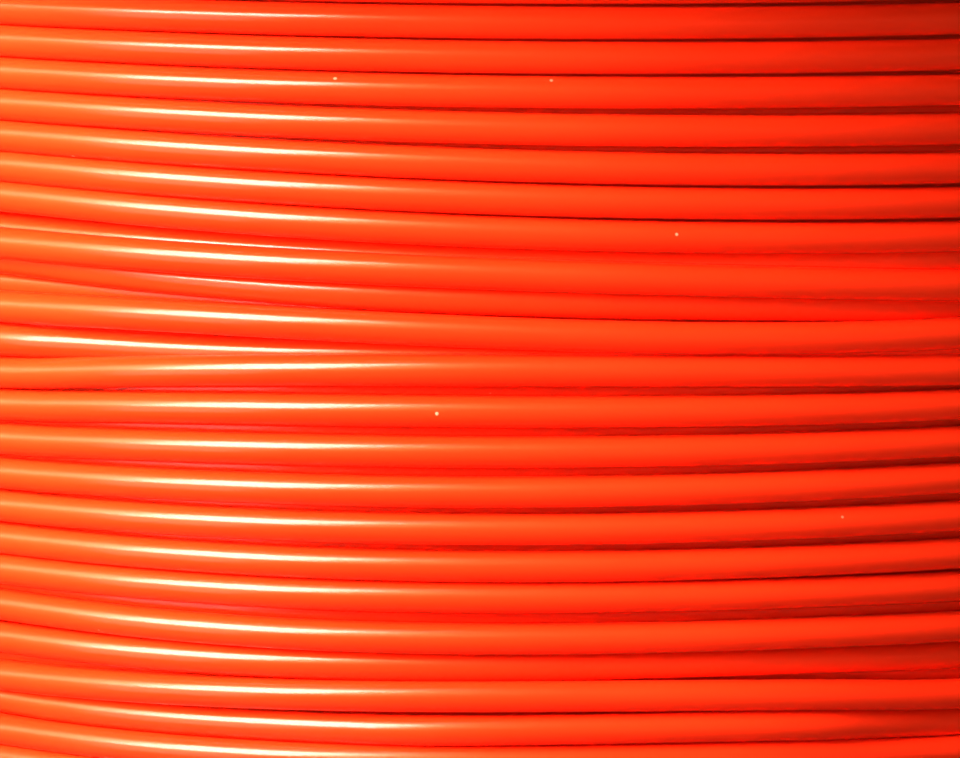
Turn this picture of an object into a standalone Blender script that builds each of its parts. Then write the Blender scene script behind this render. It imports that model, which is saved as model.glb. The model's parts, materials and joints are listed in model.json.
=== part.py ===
"""A refillable spool of 1.75 mm printing filament, lying on its lower flange with its axis along +Z.

The origin is the centre of the circle that the lower rim rests on. The spool comes apart as a lower half
(flange, hub and screws), a refill (winding on a cardboard core) and an upper half (flange and lock ring),
which lift off one after the other along +Z. Everything is in metres.
"""

import math

import bmesh
import bpy
from mathutils import Vector

# Driving dimensions of the spool
HEIGHT = 0.068  # across both rims
FLANGE_R = 0.100
BORE_R = 0.0275
GAP = 0.0003  # between pieces that touch
SIDES = 48  # facets round the large turned pieces

# Flanges: a disc set back from a proud rim
DISC_THICK = 0.0026
DISC_SETBACK = 0.0028  # from the rim's outer face to the disc's
RIM_WIDTH = 0.004
RIM_LIP_WIDTH = 0.003  # the rim's lip on the winding's side
RIM_LIP = 0.001
RIM_CHAMFER = 0.0008
COLLAR_R = 0.031  # round the bore on the lower flange
INNER_FACE = DISC_SETBACK + DISC_THICK  # height of the lower disc's inner face
UPPER_INNER_FACE = HEIGHT - INNER_FACE
UPPER_OUTER_FACE = HEIGHT - DISC_SETBACK

# Openings in the flanges
WINDOW_COUNT = 12
WINDOW_R = (0.057, 0.088)
WINDOW_HALF_ANGLE = math.radians(6.2)
WINDOW_CORNER = 0.003
SLOT_R = 0.0924  # circle on which the slots for the filament's end lie
SLOT_LENGTH = 0.0076
SLOT_WIDTH = 0.0034
SLOT_OFFSET = 0.007  # from the middle of a pair to each slot, along the circle
SLOT_PAIR_ANGLES = [math.radians(a) for a in (-5, 115, 235)]

# Hub: a bore tube and a drum on one base plate, joined by ribs
WALL = 0.0022
DRUM_R = 0.0465
DRUM_BOTTOM = INNER_FACE + GAP
DRUM_TOP = UPPER_INNER_FACE - GAP
BASE_THICK = 0.0025
TUBE_R = BORE_R + WALL
TUBE_TOP = HEIGHT - 0.0004
RIB_COUNT = 6
RIB_THICK = 0.0018
RIB_TOP = 0.046
LUG_COUNT = 3
LUG_R = 0.0326
LUG_HALF_ANGLE = math.radians(17)
LUG_Z = (0.0650, 0.0672)

# Screws that hold the hub to the lower flange, and the brass inserts that they turn into
SCREW_COUNT = 6
SCREW_CIRCLE_R = 0.037
SCREW_SIDES = 12
HEAD_R = 0.003
SHANK_R = 0.0015
HEAD_FACE = DISC_SETBACK + 0.0001
HEAD_NECK = HEAD_FACE + HEAD_R - SHANK_R
THREAD_R = 0.0012
SCREW_END = 0.0155
SOCKET_R = 0.0009
SOCKET_DEPTH = 0.001
INSERT_R = 0.0024
INSERT_Z = (0.0096, 0.0150)
BOSS_R = 0.0048
BOSS_TOP = 0.017

# Lock ring, which turns in a pocket of the upper flange and holds it under the hub's lugs
RING_R = 0.0402
RING_Z = (0.0620, 0.0646)
RING_INNER_R = 0.0302
RING_GATE_R = 0.0332  # gates in the ring's edge that pass over the hub's lugs
RING_GATE_HALF_ANGLE = math.radians(21)
NECK_R = (0.0334, 0.0348)
LIP_R = 0.0362
LIP_Z = (0.0572, 0.0586)
GRIP_R = (0.035, 0.0394)
GRIP_HALF_ANGLE = math.radians(14)
GRIP_TOP = 0.0672
STOP_R = 0.0419
STOP_HALF_ANGLE = math.radians(5)
STOP_CLEARANCE = math.radians(2)
STOP_ANGLE = math.radians(60)
RING_TURN = math.radians(45)
POCKET_R = 0.0406
POCKET_FLOOR = (0.0590, 0.0616)
POCKET_HOLE_R = 0.0352
SPIGOT_R = (0.0420, 0.0439)
SPIGOT_BOTTOM = 0.050

# Refill: winding on a cardboard core
CORE_R = (0.047, 0.050)
FILAMENT_R = 0.000875
TURNS_PER_LAYER = 32
LAYERS = 24
LAYER_STEP = 0.0016
WINDING_R = (CORE_R[1] + GAP, CORE_R[1] + GAP + (LAYERS - 1) * LAYER_STEP + 2 * FILAMENT_R)
WINDING_Z = (INNER_FACE + GAP, UPPER_INNER_FACE - GAP)
WINDING_ROUNDING = 0.0009

# Labels round the hub on both outer faces
LABEL_R = (0.0446, 0.0546)
LABEL_THICK = 0.0003

# The filament's end, parked through a pair of slots in the upper flange. Each point is (distance along the
# slots' circle from the middle of the pair, radius, height).
TAIL_ROUTE = [
    (-0.0720, 0.0900, 0.0549),
    (-0.0600, 0.0901, 0.0551),
    (-0.0460, 0.0905, 0.0556),
    (-0.0320, 0.0913, 0.0566),
    (-0.0172, 0.0922, 0.0583),
    (-0.0132, 0.0924, 0.0594),
    (-0.0097, 0.0924, 0.0616),
    (-0.0070, 0.0924, 0.0639),
    (-0.0046, 0.0924, 0.0657),
    (-0.0023, 0.0924, 0.0667),
    (0.0000, 0.0924, 0.0670),
    (0.0023, 0.0924, 0.0667),
    (0.0046, 0.0924, 0.0657),
    (0.0070, 0.0924, 0.0639),
    (0.0097, 0.0924, 0.0616),
    (0.0130, 0.0923, 0.0589),
    (0.0165, 0.0921, 0.0563),
]
TAIL_STEPS = 2  # points on the tube for each stretch of the route

# Colour, metallic value and roughness of each material
BLACK_PLASTIC = ((0.018, 0.019, 0.021), 0.0, 0.42)
GREY_PLASTIC = ((0.23, 0.24, 0.26), 0.0, 0.40)
ORANGE_FILAMENT = ((0.95, 0.09, 0.008), 0.0, 0.16)
CARDBOARD = ((0.42, 0.28, 0.16), 0.0, 0.88)
PAPER = ((0.86, 0.85, 0.82), 0.0, 0.60)
STEEL = ((0.56, 0.57, 0.58), 1.0, 0.28)
BRASS = ((0.72, 0.50, 0.20), 1.0, 0.30)

OVERSHOOT = 0.002  # how far a cutter reaches past the face that it cuts through


def material(name, look):
    """A plain material from a (colour, metallic value, roughness) look."""
    colour, metallic, roughness = look
    made = bpy.data.materials.new(name)
    made.use_nodes = True
    shader = made.node_tree.nodes["Principled BSDF"]
    shader.inputs["Base Color"].default_value = (*colour, 1)
    shader.inputs["Metallic"].default_value = metallic
    shader.inputs["Roughness"].default_value = roughness
    return made


def add_object(name, bm, look):
    """Links bm's shape as an object with its own material, shaded smooth between its sharp edges."""
    mesh = bpy.data.meshes.new(name)
    bmesh.ops.recalc_face_normals(bm, faces=bm.faces)
    bm.to_mesh(mesh)
    bm.free()
    mesh.shade_smooth()
    mesh.set_sharp_from_angle(angle=math.radians(30))
    mesh.materials.append(material(name, look))
    made = bpy.data.objects.new(name, mesh)
    bpy.context.scene.collection.objects.link(made)
    return made


def on_circle(radius, angle, height):
    """The point at a radius, an angle about the spool's axis and a height."""
    return Vector((radius * math.cos(angle), radius * math.sin(angle), height))


def turn_profile(bm, profile, sides, centre=(0, 0), closed=True):
    """Adds a solid turned about an upright axis. A closed profile makes a ring, and one that is not closed
    starts and ends on the axis."""
    axis = Vector((*centre, 0))
    rings = []
    for radius, height in profile:
        count = sides if radius > 0 else 1
        rings.append(
            [bm.verts.new(axis + on_circle(radius, math.tau * i / sides, height)) for i in range(count)]
        )
    following = rings[1:] + rings[:1] if closed else rings[1:]
    for ring, following_ring in zip(rings, following):
        for i in range(sides):
            j = (i + 1) % sides
            corners = [
                ring[i % len(ring)],
                ring[j % len(ring)],
                following_ring[j % len(following_ring)],
                following_ring[i % len(following_ring)],
            ]
            bm.faces.new(dict.fromkeys(corners))


def add_prism(bm, outline, low, high):
    """Adds an upright prism over an outline of (x, y) points."""
    bottom = [bm.verts.new((x, y, low)) for x, y in outline]
    top = [bm.verts.new((x, y, high)) for x, y in outline]
    bm.faces.new(bottom)
    bm.faces.new(top)
    for i in range(len(outline)):
        j = (i + 1) % len(outline)
        bm.faces.new((bottom[i], bottom[j], top[j], top[i]))


def arc(centre, radius, start, end, steps):
    """Points on an arc from one angle to another, both ends included."""
    angles = [start + (end - start) * i / steps for i in range(steps + 1)]
    return [(centre[0] + radius * math.cos(a), centre[1] + radius * math.sin(a)) for a in angles]


def sector_outline(inner, outer, middle, half_angle, steps=6):
    """A sector of a ring, with square corners."""
    return arc((0, 0), outer, middle - half_angle, middle + half_angle, steps) + arc(
        (0, 0), inner, middle + half_angle, middle - half_angle, steps
    )


def window_outline(middle):
    """A window between two spokes: a sector of the disc whose four corners are rounded."""
    inner, outer = WINDOW_R
    outline = []
    for radius, side in ((outer, -1), (outer, 1), (inner, 1), (inner, -1)):
        reach = radius - WINDOW_CORNER if radius == outer else radius + WINDOW_CORNER
        lean = WINDOW_HALF_ANGLE - math.asin(WINDOW_CORNER / reach)
        centre = on_circle(reach, middle + side * lean, 0)
        across = middle + side * (WINDOW_HALF_ANGLE + math.pi / 2)
        along = middle + side * lean + (0 if radius == outer else side * math.pi)
        start, end = (across, along) if (radius == outer) == (side < 0) else (along, across)
        outline += arc(centre, WINDOW_CORNER, start, end, 2)
    return outline


def slot_outline(angle):
    """A slot with round ends, lying along the slots' circle."""
    straight = (SLOT_LENGTH - SLOT_WIDTH) / 2
    along = Vector((-math.sin(angle), math.cos(angle)))
    centre = on_circle(SLOT_R, angle, 0).to_2d()
    return arc(centre + along * straight, SLOT_WIDTH / 2, angle, angle + math.pi, 4) + arc(
        centre - along * straight, SLOT_WIDTH / 2, angle + math.pi, angle + math.tau, 4
    )


def combine(target, bm, name, operation):
    """Adds bm's shape to the target, or cuts it away, through a Boolean and a helper that isn't shown."""
    helper = add_object(name, bm, GREY_PLASTIC)
    helper.hide_render = True
    helper.display_type = "WIRE"
    modifier = target.modifiers.new(name, "BOOLEAN")
    modifier.operation = operation
    modifier.object = helper


def turned_piece(name, profile, look, sides=SIDES, closed=True, centre=(0, 0)):
    bm = bmesh.new()
    turn_profile(bm, profile, sides, centre, closed)
    return add_object(name, bm, look)


def rim_profile():
    """The rim's section from the disc's inner face round to its outer face, for a flange whose rim face is
    at height 0 and whose inner side is up."""
    outer = FLANGE_R
    top = INNER_FACE + RIM_LIP
    return [
        (outer - RIM_WIDTH, DISC_SETBACK),
        (outer - RIM_WIDTH, RIM_CHAMFER),
        (outer - RIM_WIDTH + RIM_CHAMFER, 0),
        (outer - RIM_CHAMFER, 0),
        (outer, RIM_CHAMFER),
        (outer, top - RIM_CHAMFER),
        (outer - RIM_CHAMFER, top),
        (outer - RIM_LIP_WIDTH, top),
        (outer - RIM_LIP_WIDTH, INNER_FACE),
    ]


def open_flange(flange, low, high):
    """Cuts the windows and the pairs of slots through a flange's disc."""
    bm = bmesh.new()
    for i in range(WINDOW_COUNT):
        add_prism(bm, window_outline(math.tau * (i + 0.5) / WINDOW_COUNT), low, high)
    for pair in SLOT_PAIR_ANGLES:
        for side in (-1, 1):
            add_prism(bm, slot_outline(pair + side * SLOT_OFFSET / SLOT_R), low, high)
    combine(flange, bm, flange.name + "_openings", "DIFFERENCE")


def screw_places():
    """(x, y) of each screw."""
    angles = [math.tau * (i + 0.5) / SCREW_COUNT for i in range(SCREW_COUNT)]
    return [on_circle(SCREW_CIRCLE_R, a, 0).to_2d() for a in angles]


def make_lower_flange():
    profile = [(BORE_R, 0), (COLLAR_R, 0), (COLLAR_R, DISC_SETBACK), *rim_profile(), (BORE_R, INNER_FACE)]
    flange = turned_piece("lower_flange", profile, BLACK_PLASTIC)
    open_flange(flange, -OVERSHOOT, INNER_FACE + OVERSHOOT)
    hole_r = SHANK_R + GAP
    start = DISC_SETBACK - GAP
    bm = bmesh.new()
    for place in screw_places():
        countersink = [
            (0, start),
            (hole_r + HEAD_NECK - start, start),
            (hole_r, HEAD_NECK),
            (hole_r, INNER_FACE + OVERSHOOT),
            (0, INNER_FACE + OVERSHOOT),
        ]
        turn_profile(bm, countersink, SCREW_SIDES, place, closed=False)
    combine(flange, bm, "lower_flange_countersinks", "DIFFERENCE")


def make_hub():
    base_top = DRUM_BOTTOM + BASE_THICK
    profile = [
        (BORE_R, DRUM_BOTTOM),
        (DRUM_R, DRUM_BOTTOM),
        (DRUM_R, DRUM_TOP),
        (DRUM_R - WALL, DRUM_TOP),
        (DRUM_R - WALL, base_top),
        (TUBE_R, base_top),
        (TUBE_R, TUBE_TOP),
        (BORE_R, TUBE_TOP),
    ]
    hub = turned_piece("hub", profile, BLACK_PLASTIC)
    in_base = DRUM_BOTTOM + BASE_THICK / 2
    added = bmesh.new()
    for i in range(RIB_COUNT):
        across = math.tau * i / RIB_COUNT
        side = Vector((-math.sin(across), math.cos(across))) * RIB_THICK / 2
        start = on_circle(TUBE_R - WALL / 2, across, 0).to_2d()
        end = on_circle(DRUM_R - WALL / 2, across, 0).to_2d()
        add_prism(added, [start - side, end - side, end + side, start + side], in_base, RIB_TOP)
    for i in range(LUG_COUNT):
        middle = math.tau * i / LUG_COUNT
        add_prism(added, sector_outline(TUBE_R - WALL / 2, LUG_R, middle, LUG_HALF_ANGLE), *LUG_Z)
    boss = [(0, in_base), (BOSS_R, in_base), (BOSS_R, BOSS_TOP), (0, BOSS_TOP)]
    for place in screw_places():
        turn_profile(added, boss, 2 * SCREW_SIDES, place, False)
    combine(hub, added, "hub_ribs_lugs_bosses", "UNION")
    holes = bmesh.new()
    insert_seat = INSERT_Z[0] - GAP
    for place in screw_places():
        hole = [
            (0, DRUM_BOTTOM - OVERSHOOT),
            (SHANK_R + GAP, DRUM_BOTTOM - OVERSHOOT),
            (SHANK_R + GAP, insert_seat),
            (INSERT_R + GAP, insert_seat),
            (INSERT_R + GAP, BOSS_TOP + OVERSHOOT),
            (0, BOSS_TOP + OVERSHOOT),
        ]
        turn_profile(holes, hole, SCREW_SIDES, place, closed=False)
    combine(hub, holes, "hub_screw_holes", "DIFFERENCE")


def make_screws():
    """Countersunk screws, heads down, each with its insert."""
    screw = [
        (0, HEAD_FACE + SOCKET_DEPTH),
        (SOCKET_R, HEAD_FACE + SOCKET_DEPTH),
        (SOCKET_R, HEAD_FACE),
        (HEAD_R, HEAD_FACE),
        (SHANK_R, HEAD_NECK),
        (SHANK_R, INSERT_Z[0] - 2 * GAP),
        (THREAD_R, INSERT_Z[0] - GAP),
        (THREAD_R, SCREW_END - THREAD_R / 2),
        (THREAD_R / 2, SCREW_END),
        (0, SCREW_END),
    ]
    insert = [
        (SHANK_R, INSERT_Z[0]),
        (INSERT_R, INSERT_Z[0]),
        (INSERT_R, INSERT_Z[1]),
        (SHANK_R, INSERT_Z[1]),
    ]
    for i, place in enumerate(screw_places(), start=1):
        turned_piece(f"hub_screw_{i}", screw, STEEL, SCREW_SIDES, False, place)
        turned_piece(f"hub_insert_{i}", insert, BRASS, SCREW_SIDES, True, place)


def make_upper_flange():
    rim = [(radius, HEIGHT - height) for radius, height in reversed(rim_profile())]
    profile = [
        (SPIGOT_R[0], SPIGOT_BOTTOM),
        (SPIGOT_R[1], SPIGOT_BOTTOM),
        (SPIGOT_R[1], UPPER_INNER_FACE),
        *rim,
        (POCKET_R, UPPER_OUTER_FACE),
        (POCKET_R, POCKET_FLOOR[1]),
        (POCKET_HOLE_R, POCKET_FLOOR[1]),
        (POCKET_HOLE_R, POCKET_FLOOR[0]),
        (SPIGOT_R[0], POCKET_FLOOR[0]),
    ]
    flange = turned_piece("upper_flange", profile, BLACK_PLASTIC)
    open_flange(flange, UPPER_INNER_FACE - OVERSHOOT, HEIGHT + OVERSHOOT)
    half_sweep = RING_TURN / 2 + STOP_HALF_ANGLE + STOP_CLEARANCE
    bm = bmesh.new()
    outline = sector_outline(
        POCKET_R - 2 * GAP, STOP_R + 2 * GAP, STOP_ANGLE + RING_TURN / 2, half_sweep, steps=12
    )
    add_prism(bm, outline, POCKET_FLOOR[1] + GAP, HEIGHT)
    combine(flange, bm, "upper_flange_stop_slot", "DIFFERENCE")


def make_lock_ring():
    profile = [
        (NECK_R[0], LIP_Z[0]),
        (LIP_R - 2 * GAP, LIP_Z[0]),
        (LIP_R, LIP_Z[0] + 2 * GAP),
        (LIP_R, LIP_Z[1]),
        (NECK_R[1], LIP_Z[1]),
        (NECK_R[1], RING_Z[0]),
        (RING_R, RING_Z[0]),
        (RING_R, RING_Z[1]),
        (RING_INNER_R, RING_Z[1]),
        (RING_INNER_R, RING_Z[0]),
        (NECK_R[0], RING_Z[0]),
    ]
    ring = turned_piece("lock_ring", profile, GREY_PLASTIC)
    gates = bmesh.new()
    raised = bmesh.new()
    middle_z = sum(RING_Z) / 2
    for i in range(LUG_COUNT):
        gate = math.tau * i / LUG_COUNT
        outline = sector_outline(RING_INNER_R - 4 * GAP, RING_GATE_R, gate, RING_GATE_HALF_ANGLE)
        add_prism(gates, outline, RING_Z[0] - GAP, RING_Z[1] + GAP)
        grip = gate + math.pi / LUG_COUNT
        add_prism(raised, sector_outline(*GRIP_R, grip, GRIP_HALF_ANGLE), middle_z, GRIP_TOP)
    stop = sector_outline(RING_R - 2 * GAP, STOP_R, STOP_ANGLE, STOP_HALF_ANGLE, steps=2)
    add_prism(raised, stop, RING_Z[0] + GAP, RING_Z[1] - GAP)
    combine(ring, gates, "lock_ring_gates", "DIFFERENCE")
    combine(ring, raised, "lock_ring_grips", "UNION")


def make_refill():
    bottom, top = WINDING_Z
    inner, outer = CORE_R
    turned_piece("refill_core", [(inner, bottom), (outer, bottom), (outer, top), (inner, top)], CARDBOARD)
    inner, outer = WINDING_R
    rounding = WINDING_ROUNDING
    winding = [
        (inner, bottom),
        (outer - rounding, bottom),
        (outer, bottom + rounding),
        (outer, top - rounding),
        (outer - rounding, top),
        (inner, top),
    ]
    turned_piece("filament_winding", winding, ORANGE_FILAMENT)


def make_labels():
    inner, outer = LABEL_R
    heights = {
        "lower_label": DISC_SETBACK - GAP - LABEL_THICK,
        "upper_label": UPPER_OUTER_FACE + GAP,
    }
    for name, low in heights.items():
        high = low + LABEL_THICK
        turned_piece(name, [(inner, low), (outer, low), (outer, high), (inner, high)], PAPER)


def smooth_route(points, steps):
    """Points on a Catmull-Rom curve through the route's own points."""
    padded = [2 * points[0] - points[1], *points, 2 * points[-1] - points[-2]]
    smooth = [points[0]]
    for before, start, end, after in zip(padded, padded[1:], padded[2:], padded[3:]):
        for i in range(1, steps + 1):
            t = i / steps
            smooth.append(
                0.5
                * (
                    2 * start
                    + (end - before) * t
                    + (2 * before - 5 * start + 4 * end - after) * t**2
                    + (3 * start - before - 3 * end + after) * t**3
                )
            )
    return smooth


def make_tail():
    """The filament's end, a tube from the winding up through one slot and down through the other."""
    middle = SLOT_PAIR_ANGLES[0]
    route = [on_circle(radius, middle + along / SLOT_R, height) for along, radius, height in TAIL_ROUTE]
    points = smooth_route(route, TAIL_STEPS)
    curve = bpy.data.curves.new("filament_tail", "CURVE")
    curve.dimensions = "3D"
    curve.bevel_depth = FILAMENT_R
    curve.bevel_resolution = 2
    curve.use_fill_caps = True
    spline = curve.splines.new("POLY")
    spline.points.add(len(points) - 1)
    for place, point in zip(spline.points, points):
        place.co = (*point, 1)
    curve.materials.append(material("filament_tail", ORANGE_FILAMENT))
    tail = bpy.data.objects.new("filament_tail", curve)
    bpy.context.scene.collection.objects.link(tail)


def main():
    for old in list(bpy.data.objects):
        bpy.data.objects.remove(old)
    make_lower_flange()
    make_hub()
    make_screws()
    make_upper_flange()
    make_lock_ring()
    make_refill()
    make_labels()
    make_tail()


main()
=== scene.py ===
"""The looks of a refillable filament spool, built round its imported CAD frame.

The spool lies on its lower flange with its axis along +Z. The camera stands on the -Y side, close to the
winding. Everything is in metres. Angles go round the axis from +X, and a place "along the front" is a
distance along the winding's circle from the middle of the side that faces -Y, towards +X.
"""

import json
import math

import bmesh
import bpy
import numpy as np
from mathutils import Matrix, Vector

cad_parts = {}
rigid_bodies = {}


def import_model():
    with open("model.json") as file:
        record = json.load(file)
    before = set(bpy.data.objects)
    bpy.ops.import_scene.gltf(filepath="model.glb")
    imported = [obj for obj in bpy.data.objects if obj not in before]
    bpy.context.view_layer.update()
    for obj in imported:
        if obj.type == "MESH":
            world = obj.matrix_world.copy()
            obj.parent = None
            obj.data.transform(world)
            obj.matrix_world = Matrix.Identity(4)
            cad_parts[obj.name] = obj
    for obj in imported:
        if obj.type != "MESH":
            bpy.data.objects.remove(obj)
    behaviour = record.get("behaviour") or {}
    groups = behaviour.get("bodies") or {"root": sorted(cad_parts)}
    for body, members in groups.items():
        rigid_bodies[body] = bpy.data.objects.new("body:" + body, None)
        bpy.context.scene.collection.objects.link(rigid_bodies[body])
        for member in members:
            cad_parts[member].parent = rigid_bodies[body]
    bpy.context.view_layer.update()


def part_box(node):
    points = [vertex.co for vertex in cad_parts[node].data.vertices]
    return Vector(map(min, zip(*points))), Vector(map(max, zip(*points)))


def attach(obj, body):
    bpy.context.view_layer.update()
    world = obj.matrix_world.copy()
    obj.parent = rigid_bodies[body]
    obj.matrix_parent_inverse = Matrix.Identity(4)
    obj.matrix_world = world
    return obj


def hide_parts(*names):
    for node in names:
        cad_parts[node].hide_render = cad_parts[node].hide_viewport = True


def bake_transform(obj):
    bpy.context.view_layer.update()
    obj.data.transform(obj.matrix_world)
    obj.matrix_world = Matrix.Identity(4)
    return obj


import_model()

MM = 0.001
FRONT = -math.pi / 2  # the angle of the side that the camera looks at


def heights(node):
    """The lowest and highest z of a CAD node."""
    low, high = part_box(node)
    return low.z, high.z


def outer_radius(node):
    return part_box(node)[1].x


# Sizes read from the frame
FLANGE_R = outer_radius("lower_flange")
HEIGHT = heights("upper_flange")[1]
DRUM_R = outer_radius("hub")
DRUM_Z = heights("refill_core")
TUBE_TOP = heights("hub")[1]
CORE_R = outer_radius("refill_core")
WINDING_R = outer_radius("filament_winding")
WINDING_Z = heights("filament_winding")
MIDDLE = sum(WINDING_Z) / 2
LABEL_R = outer_radius("upper_label")
LABEL_Z = {"upper": heights("upper_label"), "lower": heights("lower_label")}
SPIGOT_BOTTOM = heights("upper_flange")[0]

# Sizes that the CAD source also has
GAP = 0.3 * MM
BORE_R = 27.5 * MM
DISC_SETBACK = 2.8 * MM
DISC_THICK = 2.6 * MM
DISC_Z = {
    "lower": (DISC_SETBACK, DISC_SETBACK + DISC_THICK),
    "upper": (HEIGHT - DISC_SETBACK - DISC_THICK, HEIGHT - DISC_SETBACK),
}
RIM_WIDTH = 4 * MM
RIM_LIP_WIDTH = 3 * MM
RIM_LIP = 1 * MM
COLLAR_R = 31 * MM
WINDOW_COUNT = 12
WINDOW_R = (57 * MM, 88 * MM)
WINDOW_HALF_ANGLE = math.radians(6.2)
WINDOW_CORNER = 3 * MM
SLOT_R = 92.4 * MM
SLOT_LENGTH = 7.6 * MM
SLOT_WIDTH = 3.4 * MM
SLOT_OFFSET = 7 * MM
SLOT_PAIR_ANGLES = [math.radians(a) for a in (-5, 115, 235)]
WALL = 2.2 * MM
BASE_THICK = 2.5 * MM
RIB_COUNT = 6
RIB_THICK = 1.8 * MM
RIB_TOP = 46 * MM
FIN_THICK = 1.2 * MM
LUG_COUNT = 3
LUG_R = 32.6 * MM
LUG_HALF_ANGLE = math.radians(17)
LUG_Z = (65.0 * MM, 67.2 * MM)
SCREW_CIRCLE_R = 37 * MM
HEAD_R = 3 * MM
SHANK_R = 1.5 * MM
THREAD_R = 1.2 * MM
THREAD_PITCH = 0.5 * MM
HEAD_FACE = 2.9 * MM
SCREW_END = 15.5 * MM
SOCKET_R = 0.95 * MM
SOCKET_DEPTH = 1 * MM
INSERT_R = 2.4 * MM
INSERT_Z = (9.6 * MM, 15 * MM)
KNURL_DEPTH = 0.12 * MM
BOSS_R = 4.8 * MM
BOSS_TOP = 17 * MM
RING_R = 40.2 * MM
RING_Z = (62.0 * MM, 64.6 * MM)
RING_INNER_R = 30.2 * MM
RING_GATE_R = 33.2 * MM
RING_GATE_HALF_ANGLE = math.radians(21)
NECK_R = (33.4 * MM, 34.8 * MM)
LIP_R = 36.2 * MM
LIP_Z = (57.2 * MM, 58.6 * MM)
GRIP_R = (35 * MM, 39.4 * MM)
GRIP_HALF_ANGLE = math.radians(14)
GRIP_TOP = 67.2 * MM
STOP_R = 41.9 * MM
STOP_HALF_ANGLE = math.radians(5)
STOP_CLEARANCE = math.radians(2)
STOP_ANGLE = math.radians(60)
RING_TURN = math.radians(45)
POCKET_R = 40.6 * MM
POCKET_FLOOR = (59.0 * MM, 61.6 * MM)
POCKET_HOLE_R = 35.2 * MM
SPIGOT_R = (42.0 * MM, 43.9 * MM)
CORE_INNER_R = 47 * MM
LABEL_INNER_R = 44.6 * MM
FILAMENT_R = 0.875 * MM
LAYERS = 24
LAYER_STEP = 1.6 * MM
FIRST_LAYER_R = 50.3 * MM + FILAMENT_R
TOP_LAYER_R = WINDING_R - FILAMENT_R

# The filament's end: (distance along the slots' circle from the middle of the pair, radius, height) in mm
TAIL_ROUTE = [
    (-72.0, 90.0, 54.9),
    (-60.0, 90.1, 55.1),
    (-46.0, 90.5, 55.6),
    (-32.0, 91.3, 56.6),
    (-17.2, 92.2, 58.3),
    (-13.2, 92.4, 59.4),
    (-9.7, 92.4, 61.6),
    (-7.0, 92.4, 63.9),
    (-4.6, 92.4, 65.7),
    (-2.3, 92.4, 66.7),
    (0.0, 92.4, 67.0),
    (2.3, 92.4, 66.7),
    (4.6, 92.4, 65.7),
    (7.0, 92.4, 63.9),
    (9.7, 92.4, 61.6),
    (13.0, 92.3, 58.9),
    (16.5, 92.1, 56.3),
]

# Where turns of the outermost layer cross the front, counted from the top turn down: heights in mm above the
# winding's middle, at four places along the front. Turns that aren't here are spaced evenly between them.
FRONT_PLACES = (-24, -8, 8, 24)
FRONT_TURNS = {
    0: (20.9, 21.2, 21.4, 21.6),
    3: (15.6, 15.7, 15.8, 15.8),
    5: (12.1, 11.9, 11.7, 11.5),
    7: (8.7, 8.3, 8.0, 7.7),
    8: (6.65, 6.45, 6.3, 6.3),
    9: (6.1, 5.95, 5.65, 5.0),
    10: (4.85, 4.4, 4.1, 3.55),
    11: (2.6, 2.7, 2.4, 2.15),
    12: (0.6, 0.85, 1.25, 1.1),
    13: (-1.0, 0.2, 0.5, 0.15),
    14: (-2.9, -2.05, -1.8, -1.9),
    16: (-7.0, -6.6, -6.3, -6.2),
    18: (-10.9, -10.8, -10.6, -10.6),
    19: (-12.7, -12.6, -12.4, -12.5),
    20: (-14.9, -15.0, -14.8, -14.9),
    21: (-16.8, -16.8, -16.6, -16.8),
    22: (-19.0, -18.5, -18.2, -18.8),
    23: (-20.7, -20.5, -20.1, -20.6),
    27: (-27.4, -27.4, -27.4, -27.4),
}
# Turns that sink between their neighbours wherever those close up, each with its share of the full depth,
# and one that lies loose in the layer below by these depths in mm, at the same four places
SINKING_TURNS = {8: 0.64, 10: 1.0, 12: 0.62, 23: 1.0}
LOOSE_TURN = 21
LOOSE_DEPTHS = (0.0, 0.45, 0.85, 0.95)


# ---------------------------------------------------------------- shapes


def on_circle(radius, angle, height):
    """The point at a radius, an angle about the spool's axis and a height."""
    return Vector((radius * math.cos(angle), radius * math.sin(angle), height))


def arc(radius, start, end, steps, centre=(0, 0)):
    """Points on an arc from one angle to another, both ends included."""
    angles = [start + (end - start) * i / steps for i in range(steps + 1)]
    return [(centre[0] + radius * math.cos(a), centre[1] + radius * math.sin(a)) for a in angles]


def circle(radius, steps=144, centre=(0, 0)):
    return arc(radius, 0, math.tau, steps, centre)[:-1]


def sector_outline(inner, outer, middle, half_angle, steps=10):
    """A sector of a ring, with square corners."""
    start, end = middle - half_angle, middle + half_angle
    return arc(outer, start, end, steps) + arc(inner, end, start, steps)


def spoke(near, far, angle, thick):
    """A straight bar from one radius to another."""
    side = Vector((-math.sin(angle), math.cos(angle))) * thick / 2
    start, end = on_circle(near, angle, 0).to_2d(), on_circle(far, angle, 0).to_2d()
    return [start - side, end - side, end + side, start + side]


def rounded(outline, radius, steps=3):
    """The closed outline with each corner that turns by more than 20 degrees eased over a radius."""
    eased = []
    count = len(outline)
    for i, point in enumerate(outline):
        here = Vector(point)
        before = Vector(outline[i - 1]) - here
        after = Vector(outline[(i + 1) % count]) - here
        if before.length < 1e-9 or after.length < 1e-9:
            continue
        if math.pi - before.angle(after) < math.radians(20):
            eased.append(tuple(here))
            continue
        reach = min(radius, 0.45 * before.length, 0.45 * after.length)
        start, end = here + before.normalized() * reach, here + after.normalized() * reach
        for k in range(steps + 1):
            t = k / steps
            eased.append(tuple(start * (1 - t) ** 2 + here * 2 * t * (1 - t) + end * t**2))
    return eased


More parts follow.
